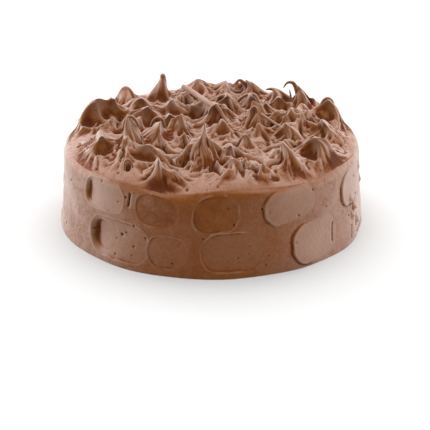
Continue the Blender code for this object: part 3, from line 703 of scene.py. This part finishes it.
def sculpt_top(x, y):
    """The frosting over a point of the flat disc: crown, peaks, spooned hollows, then the curling."""
    x, y = pinch(PEAKS, x, y)
    radius = np.hypot(x, y)
    inner = ease((EDGE_RADIUS - radius) / SHOULDER_BAND)
    swirled_x = x + SWIRL * inner * waves(x, y, SWIRL_LENGTH, SWIRL_SEED)
    swirled_y = y + SWIRL * inner * waves(x, y, SWIRL_LENGTH, SWIRL_SEED + 1)
    tents = [tent(p, swirled_x, swirled_y) for p in PEAKS]
    height = sum(t**BLEND_POWER for t in tents) ** (1 / BLEND_POWER)
    crests = 1 - np.abs(waves(swirled_x, swirled_y, CREST_LENGTH, CREST_SEED))
    height += CREST * crests * ease((EDGE_RADIUS - radius) / CREST_BAND)
    z = crown(radius) + height * (SHOULDER_SHARE + (1 - SHOULDER_SHARE) * inner)
    for p in PEAKS:
        if p.hollow:
            dish = bowl(p, x, y)
            lip = LIP * inner * np.exp(-(((dish - z) / LIP_WIDTH) ** 2))
            floor = np.maximum(dish, z - HOLLOW_MOST * min(p.hollow, 1) * p.height)
            z = np.minimum(z, z + (floor - z) * inner) + lip
    for s in all_seams():
        z += inner * seam_relief(s, swirled_x, swirled_y)
    z -= pit_relief(top_pits(), x, y) * ease((EDGE_RADIUS - radius) / PIT_FADE)
    total = sum(t**NEAR_POWER for t in tents) + NEAR_NOTHING**NEAR_POWER
    wobble = waves(x, y, STRAND_WOBBLE_LENGTH, STRAND_SEED)
    lines = sum(
        t**NEAR_POWER * strands(p, x, y, wobble) for p, t in zip(PEAKS, tents, strict=True)
    ) / total
    lines *= inner * ease(height / STRAND_HEIGHT)
    z += STRAND_DEPTH * lines
    new_x, new_y, new_z = x.copy(), y.copy(), z.copy()
    for p, own in zip(PEAKS, tents, strict=True):
        near = ease(NEAR_END - np.hypot(x - p.x, y - p.y) / (NEAR_REACH * p.reach))
        sideways, upwards = lean_over(p, x, y, z)
        share = own**NEAR_POWER / total * near
        new_x += share * sideways * math.cos(p.lean)
        new_y += share * sideways * math.sin(p.lean)
        new_z += share * upwards
    new_z -= sum(hole_relief(h, new_x, new_y) for h in HOLES)
    new_z += EDGE_WAVE * waves(x, y, EDGE_WAVE_LENGTH, EDGE_WAVE_SEED)
    outline = 1 + OUTLINE_WAVE * waves(x, y, EDGE_WAVE_LENGTH, EDGE_WAVE_SEED + 1)
    return np.stack([new_x * outline, new_y * outline, new_z], -1), lines


def dab_halves(d):
    """Half a dab's length along the wall, and half its height."""
    return (d.end - d.start) / 2 * WALL_RADIUS, (d.high - d.low) / 2


def dab_place(d, angle, z):
    """A place along and up a dab from its middle, and how far outside its ragged outline it lies."""
    half_length, half_height = dab_halves(d)
    turn = (angle - (d.start + d.end) / 2 + math.pi) % (2 * math.pi) - math.pi
    along, up = turned(turn * WALL_RADIUS, z - (d.low + d.high) / 2, d.tilt)
    corner = DAB_CORNER * half_height
    over_along = np.abs(along) - (half_length - corner)
    over_up = np.abs(up) - (half_height - corner)
    outside = np.hypot(np.maximum(over_along, 0), np.maximum(over_up, 0))
    outside += np.minimum(np.maximum(over_along, over_up), 0) - corner
    outside += DAB_RAGGED * waves(along + d.start, up + d.low, DAB_RAGGED_LENGTH, WAVE_SEED)
    return along, up, outside


def dab_relief(d, angle, z):
    """How far one dab moves the wall: a flat face, its left end scooped or proud, in a thin rim."""
    half_length, half_height = dab_halves(d)
    along, up, outside = dab_place(d, angle, z)
    left = np.clip((half_length - along) / (2 * half_length), 0, 1)
    flat = DAB_FLAT * np.clip(half_length**2 - along**2, 0, None) / (2 * WALL_RADIUS)
    across = 1 - np.clip(up / half_height, -1, 1) ** 2 if d.scoop > DAB_EDGE else 1
    pad = flat * ease(-outside / DAB_EDGE)
    pad += d.press * left**d.fade * ease(-outside / d.scoop) * across
    rim = DAB_RIM * d.rim * (d.rim_end + (1 - d.rim_end) * left)
    rim = rim * ease(RIM_SHARE + RIM_CHANGE * waves(along, up + d.start, RIM_LENGTH, WAVE_SEED + 1))
    return rim * np.exp(-((outside / DAB_RIM_WIDTH) ** 2)) - pad


def dab_painted_light(d, angle, z):
    """How much paler, as painted sheen, or darker, as painted shade, a dab's face is than the wall round
    it.
    """
    _, _, outside = dab_place(d, angle, z)
    return d.tone * ease(-outside / DAB_PAINTED_LIGHT_EDGE)


def cut_relief(c, angle, z):
    """How deep a narrow cut is: a bell across it, even along it."""
    x, y = angle * FOOT_RADIUS, z
    start_x, end_x = c.start * FOOT_RADIUS, c.end * FOOT_RADIUS
    length = math.hypot(end_x - start_x, c.high - c.low)
    along, across = turned(x - start_x, y - c.low, math.atan2(c.high - c.low, end_x - start_x))
    over = np.maximum(np.abs(along - length / 2) - length / 2, 0)
    return c.depth * np.exp(-(across**2 + over**2) / c.width**2)


def lump_relief(p, angle, z):
    """How far a torn lump stands out: a cone that is steep below and drawn out above."""
    up = z - p.height
    up = np.where(up > 0, up * LUMP_ABOVE, up * LUMP_BELOW)
    away = np.hypot((angle - p.angle) * FOOT_RADIUS, up)
    return p.rise * np.clip(1 - away / (LUMP_REACH * p.size), 0, 1) ** LUMP_POWER


def wall_pits():
    """The placed pits of the wall, and smaller ones at random all round it, along and up in metres."""
    rng = np.random.default_rng(PIT_SEED + 1)
    pits = [
        Pit(math.radians(angle) * FOOT_RADIUS, z * MM, size * PLACED_PIT * MM)
        for angle, z, size in WALL_PITS
    ]
    for _ in range(WALL_PIT_COUNT):
        along, up = rng.uniform(-math.pi, math.pi) * FOOT_RADIUS, rng.uniform(*WALL_PIT_BAND) * MM
        pits.append(Pit(along, up, rng.uniform(*PIT_SIZES) * WALL_PIT * MM))
    return pits


def wall_relief(angle, z):
    """How far the wall stands out or in: its dabs, cuts, torn lumps and pits."""
    relief = sum(dab_relief(d, angle, z) for d in DABS + back_dabs())
    relief -= sum(cut_relief(c, angle, z) for c in CUTS)
    relief += sum(lump_relief(p, angle, z) for p in LUMPS)
    return relief - pit_relief(wall_pits(), angle * FOOT_RADIUS, z)


def wall_radius(angle, z, relief):
    """The wall's radius: a slight flare at the foot, slow waves and the relief, rounded at the top."""
    share = z / CREASE_HEIGHT
    radius = CREASE_RADIUS + (FOOT_RADIUS - CREASE_RADIUS) * (1 - share) ** WALL_FLARE
    around_x, around_y = FOOT_RADIUS * np.sin(angle), FOOT_RADIUS * np.cos(angle)
    radius = radius + WAVE * waves(around_x + z, around_y + z, WAVE_LENGTH, WAVE_SEED) + relief
    joined = ease((CREASE_HEIGHT - z) / WALL_JOIN)
    rounded = EDGE_ROUND * np.clip(1 - (CREASE_HEIGHT - z) / EDGE_FALL, 0, 1) ** EDGE_POWER
    return CREASE_RADIUS + (radius - CREASE_RADIUS) * joined - rounded


def disc(x, y):
    """A square grid's points moved onto the disc: each square ring becomes a round one."""
    wide = np.abs(x) > np.abs(y)
    ring = np.where(wide, x, y)
    other = np.where(wide, y, x)
    angle = math.pi / 4 * other / np.where(ring == 0, 1, ring)
    long_side, short_side = ring * np.cos(angle), ring * np.sin(angle)
    return np.where(wide, long_side, short_side), np.where(wide, short_side, long_side)


def smoothed(points):
    """The grid's inner points, each drawn halfway to the mean of its four neighbours, in rounds."""
    for _ in range(SMOOTH_ROUNDS):
        mean = (points[2:, 1:-1] + points[:-2, 1:-1] + points[1:-1, 2:] + points[1:-1, :-2]) / 4
        points[1:-1, 1:-1] += SMOOTH_FACTOR * (mean - points[1:-1, 1:-1])
    return points


def top_points():
    """The top as a grid of points, a square of even steps made round, and the fine lines, which are also
    painted as highlight and shade.
    """
    steps = np.linspace(-1, 1, GRID_STEPS + 1)
    x, y = np.meshgrid(steps, steps, indexing="ij")
    x, y = disc(x, y)
    points, lines = sculpt_top(x * EDGE_RADIUS, y * EDGE_RADIUS)
    return smoothed(points), lines


def border(points):
    """The grid's outer points in order, anticlockwise from its first corner."""
    return np.concatenate(
        [points[:-1, 0], points[-1, :-1], points[:0:-1, -1], points[0, :0:-1]]
    )


def wall_points(ring):
    """The wall as rows of points, from the top's border down to the foot, and their painted shade and
    highlight, with the dabs' painted sheen and shade.
    """
    shares, angle = np.meshgrid(
        np.linspace(1, 0, WALL_ROWS + 1), np.arctan2(ring[:, 0], -ring[:, 1]), indexing="ij"
    )
    outline = np.hypot(ring[:, 0], ring[:, 1]) - EDGE_RADIUS
    height = CREASE_HEIGHT * shares
    relief = wall_relief(angle, height)
    radius = wall_radius(angle, height, relief) + outline * shares**OUTLINE_FADE
    points = np.stack([radius * np.sin(angle), -radius * np.cos(angle), ring[:, 2] * shares], -1)
    return points, wall_standing(relief) + sum(dab_painted_light(d, angle, height) for d in DABS)


def grid_faces(rows, columns, first=0, wrap=False):
    """Quads between neighbouring rows and columns of a grid whose points are numbered along rows."""
    row = np.arange(rows - 1)[:, None]
    column = np.arange(columns if wrap else columns - 1)[None, :]
    after = (column + 1) % columns
    a, b = row * columns + column, (row + 1) * columns + column
    c, d = (row + 1) * columns + after, row * columns + after
    return np.stack([a, b, c, d], -1).reshape(-1, 4) + first


def fan_faces(ring, middle):
    """Triangles from each edge of a ring of point numbers to one middle point."""
    return np.stack([ring, np.roll(ring, -1), np.full_like(ring, middle)], -1)


def ring_normals(before, ring, after):
    """A ring's normals, from its own way round and the way from the points above to those below."""
    normals = np.cross(np.roll(ring, -1, 0) - np.roll(ring, 1, 0), before - after)
    return normals / np.linalg.norm(normals, axis=1, keepdims=True)


def inside_border(points):
    """The points one step in from the grid's border, in the border's order."""
    size = len(points)
    index = np.clip(np.indices((size, size)).reshape(2, size, size), 1, size - 2)
    return border(points[index[0], index[1]])


def make_piece(name, points, quads, triangles, material, attributes=(), normals=()):
    """A mesh object from arrays of points, quads and triangles, shaded smooth."""
    mesh = bpy.data.meshes.new(name)
    corners = np.concatenate([quads.ravel(), triangles.ravel()]).astype(np.int32)
    sizes = np.concatenate([np.full(len(quads), 4), np.full(len(triangles), 3)])
    starts = np.concatenate([[0], np.cumsum(sizes)[:-1]]).astype(np.int32)
    mesh.vertices.add(len(points))
    mesh.loops.add(len(corners))
    mesh.polygons.add(len(sizes))
    mesh.vertices.foreach_set("co", points.astype(np.float32).ravel())
    mesh.loops.foreach_set("vertex_index", corners)
    mesh.polygons.foreach_set("loop_start", starts)
    for label, values in attributes:
        layer = mesh.attributes.new(label, "FLOAT", "POINT")
        layer.data.foreach_set("value", values.astype(np.float32).ravel())
    mesh.update(calc_edges=True)
    mesh.validate()
    mesh.shade_smooth()
    if len(normals):
        mesh.normals_split_custom_set_from_vertices(normals)
    mesh.materials.append(material)
    piece = bpy.data.objects.new(name, mesh)
    bpy.context.scene.collection.objects.link(piece)
    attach(piece, BODY)
    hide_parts(NODE)
    return piece


def sharpen_fans(piece, quads):
    """Keeps the edges of the flat hidden faces sharp, so that they don't shade the frosting."""
    mesh = piece.data
    edges = np.empty(len(mesh.loops), np.int32)
    mesh.loops.foreach_get("edge_index", edges)
    sharp = np.zeros(len(mesh.edges), bool)
    sharp[edges[4 * quads :]] = True
    layer = mesh.attributes.new("sharp_edge", "BOOLEAN", "EDGE")
    layer.data.foreach_set("value", sharp)


class Value:
    """A socket that takes part in sums: each operator adds the Math node for it."""

    def __init__(self, nodes, socket):
        self.nodes = nodes
        self.socket = socket

    def math(self, operation, *values):
        made = self.nodes.node("ShaderNodeMath", {"operation": operation}, dict(enumerate(values)))
        return made[0]

    def __add__(self, other):
        return self.math("ADD", self, other)

    def __sub__(self, other):
        return self.math("SUBTRACT", self, other)

    def __rsub__(self, other):
        return self.math("SUBTRACT", other, self)

    def __mul__(self, other):
        return self.math("MULTIPLY", self, other)

    def clamped(self):
        return self.math("MINIMUM", self.math("MAXIMUM", self, 0), 1)

    __radd__ = __add__
    __rmul__ = __mul__


class Nodes:
    """A material's node tree."""

    def __init__(self, material):
        material.use_nodes = True
        self.tree = material.node_tree
        self.tree.nodes.clear()

    def node(self, kind, settings=None, inputs=None):
        """A node of a kind: its settings are set first, then its sockets' values or links."""
        node = self.tree.nodes.new(kind)
        for name, value in (settings or {}).items():
            setattr(node, name, value)
        for name, value in (inputs or {}).items():
            if isinstance(value, Value):
                self.tree.links.new(value.socket, node.inputs[name])
            else:
                node.inputs[name].default_value = value
        return [Value(self, socket) for socket in node.outputs if socket.enabled]

    def mix(self, factor, one, two):
        """One colour going over to the other, its sockets 6 and 7, as the factor goes from 0 to 1."""
        return self.node(
            "ShaderNodeMix", {"data_type": "RGBA"}, {0: factor, 6: one, 7: two}
        )[0]

    def frosting(self, colour, rough, bump, gloss, sheen):
        """The frosting's own shader, with a little light let through."""
        return self.node(
            "ShaderNodeBsdfPrincipled",
            {},
            {"Base Color": colour, "Roughness": rough, "Normal": bump, "IOR": REFRACTION,
             "Specular IOR Level": gloss, "Sheen Weight": sheen,
             "Sheen Roughness": SHEEN_ROUGHNESS, "Subsurface Weight": LET_IN,
             "Subsurface Radius": LET_IN_COLOURS, "Subsurface Scale": LET_IN_REACH},
        )[0]

    def noise(self, place, scale, detail, roughness, distortion):
        """Cloudy noise about 0, as fine as its scale is large."""
        made = self.node(
            "ShaderNodeTexNoise",
            {},
            {"Vector": place, "Scale": scale, "Detail": detail, "Roughness": roughness,
             "Distortion": distortion},
        )
        return made[0] - NOISE_MIDDLE


def frosting_material():
    """Whipped frosting: dull, with painted shade dark and warm in the hollows, a painted highlight on
    what stands proud, satin aside.
    """
    material = bpy.data.materials.new("whipped_frosting")
    nodes = Nodes(material)
    place = nodes.node("ShaderNodeTexCoord")[OBJECT_PLACE]
    # The painted shade and highlight that each piece carries as a point attribute
    painted_shade_and_highlight = nodes.node("ShaderNodeAttribute", {"attribute_name": "painted_shade_and_highlight"})[ATTRIBUTE_NUMBER]
    broad = nodes.noise(place, *BROAD_NOISE)
    grain = nodes.noise(place, *GRAIN_NOISE)
    streaks = nodes.noise(place, *STREAK_NOISE)
    shade = (painted_shade_and_highlight * SHADE_STANDING + SHADE_MIDDLE + broad * SHADE_BROAD
             + streaks * SHADE_FINE + grain * SHADE_FINE).clamped()
    # The shade's lower half goes from the painted shade of the hollows to plain, and its upper half on
    # to the painted highlight of what stands proud
    low = nodes.mix((shade * 2).clamped(), HOLLOW_PAINTED_SHADE, PLAIN_TONE)
    colour = nodes.mix((shade * 2 - 1).clamped(), low, PROUD_PAINTED_HIGHLIGHT)
    rough = (SATIN_ROUGHNESS + grain * GRAIN_ROUGHNESS + streaks * STREAK_ROUGHNESS
             - painted_shade_and_highlight * STANDING_ROUGHNESS).clamped()
    bump = nodes.node(
        "ShaderNodeBump", {},
        {"Strength": BUMP_STRENGTH, "Distance": BUMP_DISTANCE, "Height": grain * BUMP_GRAIN + streaks},
    )[0]
    dull = nodes.frosting(colour, DULL_ROUGHNESS, bump, DULL_GLOSS, 0)
    satin = nodes.frosting(colour, rough, bump, SATIN_GLOSS, SATIN_SHEEN)
    aside = nodes.node("ShaderNodeLayerWeight", {}, {"Blend": FACING_BLEND})[FACING]
    glossy = (aside * GLOSS_RISE).clamped() * (shade * GLOSS_GROWTH - GLOSS_START).clamped()
    shader = nodes.node("ShaderNodeMixShader", {}, {0: glossy, 1: dull, 2: satin})[0]
    nodes.node("ShaderNodeOutputMaterial", {}, {"Surface": shader})
    return material


def blurred(values, rounds, wrap):
    """Each value drawn to the mean of its four neighbours, in rounds; a wall's rows run in a ring."""
    for _ in range(rounds):
        wide = np.pad(values, ((1, 1), (0, 0)), mode="edge")
        wide = np.pad(wide, ((0, 0), (1, 1)), mode="wrap" if wrap else "edge")
        values = (wide[2:, 1:-1] + wide[:-2, 1:-1] + wide[1:-1, 2:] + wide[1:-1, :-2]) / 4
    return values


def top_standing(height):
    """How far each point stands above its near and wider surroundings, from -1 in a hollow to 1; it
    paints shade into hollows and a weaker highlight onto crests.
    """
    total = np.zeros_like(height)
    for rounds, most, weight in TOP_STANDING:
        total += weight * np.tanh((height - blurred(height, rounds, False)) / most)
    return np.where(total > 0, CREST_SHARE * total, total)


def wall_standing(relief):
    """The same for the wall, where only what is narrow counts: thin rims are painted as highlight, cuts
    and pits as shade.
    """
    over = relief - blurred(relief, WALL_ROUNDS, True)
    over = np.sign(over) * np.maximum(np.abs(over) - WALL_LEAST, 0)
    return WALL_SHARE * np.tanh(over / WALL_MOST)


def make_top(points, lines, normals, material):
    """The peaked top, closed underneath by a flat fan at the crease."""
    ring = border(np.arange(points[..., 0].size).reshape(points.shape[:2]))
    flat = points.reshape(-1, 3)
    middle = np.array([[0, 0, flat[ring, 2].mean()]])
    given = np.zeros((len(flat) + 1, 3))
    given[ring] = normals
    radius = np.hypot(points[..., 0], points[..., 1])
    # Painted shade in hollows and highlight on crests, and the fine lines painted paler on their ridges
    # and darker in their grooves
    painted_shade_and_highlight = top_standing(points[..., 2] - crown(radius)) + STRAND_PAINTED_LIGHT * lines
    # Painted light: the top is painted paler away from its edge
    painted_shade_and_highlight += TOP_PAINTED_LIGHT * ease((EDGE_RADIUS - radius) / TOP_PAINTED_LIGHT_BAND)
    quads = grid_faces(*points.shape[:2])
    piece = make_piece(
        "frosting_top", np.concatenate([flat, middle]), quads, fan_faces(ring, len(flat))[:, ::-1],
        material, [("painted_shade_and_highlight", np.append(painted_shade_and_highlight.ravel(), 0))], given,
    )
    sharpen_fans(piece, len(quads))


def make_wall(name, rows, painted_shade_and_highlight, upper, lower, material):
    """A band of the wall with its dabs, closed above and below by flat fans."""
    count = rows.shape[1]
    flat = rows.reshape(-1, 3)
    middles = np.array([[0, 0, rows[0, :, 2].mean()], [0, 0, rows[-1, :, 2].mean()]])
    top_ring = np.arange(count)
    low_ring = top_ring + len(flat) - count
    fans = np.concatenate(
        [fan_faces(top_ring, len(flat)), fan_faces(low_ring, len(flat) + 1)[:, ::-1]]
    )
    given = np.zeros((len(flat) + 2, 3))
    given[top_ring] = upper
    given[low_ring] = lower
    quads = grid_faces(*rows.shape[:2], wrap=True)
    piece = make_piece(
        name, np.concatenate([flat, middles]), quads, fans, material,
        [("painted_shade_and_highlight", np.append(painted_shade_and_highlight.ravel(), [0, 0]))], given,
    )
    sharpen_fans(piece, len(quads))


def curl_points(c):
    """Rings round a Catmull-Rom curve through a strand's places, thinning along it, and its ends."""
    given = np.array(c.path) * MM
    place = np.linspace(0, len(given) - 1, CURL_STEPS + 1)
    whole = np.minimum(place.astype(int), len(given) - 2)
    t = (place - whole)[:, None]
    a, b, d, e = (given[np.clip(whole + step, 0, len(given) - 1)] for step in (-1, 0, 1, 2))
    path = b + (t * (d - a) + t**2 * (2 * a - 5 * b + 4 * d - e) + t**3 * (3 * b - a - 3 * d + e)) / 2
    way = np.gradient(path, axis=0)
    way /= np.linalg.norm(way, axis=1, keepdims=True)
    side = np.cross(way, (0, 1, 0))
    side /= np.linalg.norm(side, axis=1, keepdims=True)
    other = np.cross(side, way)
    share = np.linspace(0, 1, CURL_STEPS + 1)
    thickness = (c.thick + (c.thin - c.thick) * share) * MM
    thickness = thickness * np.minimum(1, np.sqrt(CURL_START + (1 - share) * CURL_STEPS / CURL_CAP))
    turn = np.linspace(0, 2 * math.pi, CURL_SIDES, endpoint=False)[None, :, None]
    round_it = np.cos(turn) * side[:, None] + np.sin(turn) * other[:, None]
    ends = path[[0, -1]] + way[[0, -1]] * thickness[[0, -1], None] * [[-CURL_END], [CURL_END]]
    return path[:, None] + round_it * thickness[:, None, None], ends


def make_curls(material):
    """All the drawn-out strands: tapering tubes, each closed at both ends."""
    points, quads, fans = [], [], []
    size = (CURL_STEPS + 1) * CURL_SIDES + 2
    ring = np.arange(CURL_SIDES)
    for number, c in enumerate(CURLS):
        first = number * size
        rings, ends = curl_points(c)
        points += [rings.reshape(-1, 3), ends]
        quads.append(grid_faces(CURL_STEPS + 1, CURL_SIDES, first, wrap=True))
        last = first + size - 2
        fans += [fan_faces(ring + first, last), fan_faces(ring + last - CURL_SIDES, last + 1)[:, ::-1]]
    # The strands are painted paler all over, as a highlight
    tone = np.full(size * len(CURLS), CURL_PAINTED_HIGHLIGHT)
    make_piece(
        "frosting_curls", np.concatenate(points), np.concatenate(quads), np.concatenate(fans),
        material, [("painted_shade_and_highlight", tone)],
    )


def make_frosting():
    """Top and two bands of wall, which meet with the same points and normals."""
    material = frosting_material()
    points, lines = top_points()
    rows, painted_shade_and_highlight = wall_points(border(points))
    crease = ring_normals(inside_border(points), rows[0], rows[1])
    split = ring_normals(rows[WALL_SPLIT - 1], rows[WALL_SPLIT], rows[WALL_SPLIT + 1])
    make_top(points, lines, crease, material)
    high, low = slice(0, WALL_SPLIT + 1), slice(WALL_SPLIT, None)
    make_wall("frosting_wall_high", rows[high], painted_shade_and_highlight[high], crease, split, material)
    make_wall("frosting_wall_low", rows[low], painted_shade_and_highlight[low], split, 0, material)
    make_curls(material)


def make_floor():
    """A flat square under the cake, which isn't part of it."""
    mesh = bpy.data.meshes.new("floor")
    corners = [(x * FLOOR_HALF, y * FLOOR_HALF, 0) for x, y in ((-1, -1), (1, -1), (1, 1), (-1, 1))]
    mesh.from_pydata(corners, [], [(0, 1, 2, 3)])
    material = bpy.data.materials.new("pale_floor")
    nodes = Nodes(material)
    shader = nodes.node(
        "ShaderNodeBsdfPrincipled", {}, {"Base Color": FLOOR_TONE, "Roughness": FLOOR_ROUGHNESS}
    )[0]
    nodes.node("ShaderNodeOutputMaterial", {}, {"Surface": shader})
    mesh.materials.append(material)
    floor = bpy.data.objects.new("floor", mesh)
    bpy.context.scene.collection.objects.link(floor)


def make_lamp(name, place, size, power):
    """A flat lamp of a width and height that shines at the cake."""
    lamp = bpy.data.lights.new(name, "AREA")
    lamp.shape = "RECTANGLE"
    lamp.size, lamp.size_y = size
    lamp.energy = power
    holder = bpy.data.objects.new(name, lamp)
    holder.location = place
    holder.rotation_euler = (LAMP_AIM - Vector(place)).to_track_quat("-Z", "Y").to_euler()
    bpy.context.scene.collection.objects.link(holder)


def make_light():
    """Big soft lamps on all sides and above, and a dim white surround."""
    for name, place, size, power in LAMPS:
        make_lamp(name, place, size, power)
    world = bpy.data.worlds.new("surround")
    bpy.context.scene.world = world
    world.use_nodes = True
    background = world.node_tree.nodes["Background"]
    background.inputs["Color"].default_value = (1, 1, 1, 1)
    background.inputs["Strength"].default_value = SURROUND


def make_camera():
    """Looks at the middle of the foot, which the picture shows at its own row and column."""
    camera = bpy.data.cameras.new("camera")
    camera.lens = CAMERA_LENS
    camera.sensor_width = SENSOR
    camera.shift_x = (PICTURE / 2 - MIDDLE_COLUMN) / PICTURE
    camera.shift_y = (MIDDLE_ROW - PICTURE / 2) / PICTURE
    holder = bpy.data.objects.new("camera", camera)
    back = Vector((0, -math.cos(CAMERA_ELEVATION), math.sin(CAMERA_ELEVATION)))
    holder.location = back * CAMERA_DISTANCE
    holder.rotation_euler = (-back).to_track_quat("-Z", "Y").to_euler()
    bpy.context.scene.collection.objects.link(holder)
    bpy.context.scene.camera = holder


def set_colours():
    """Shows the light as it is, with white where it is brightest."""
    bpy.context.scene.view_settings.view_transform = "Standard"


make_frosting()
make_floor()
make_light()
make_camera()
set_colours()
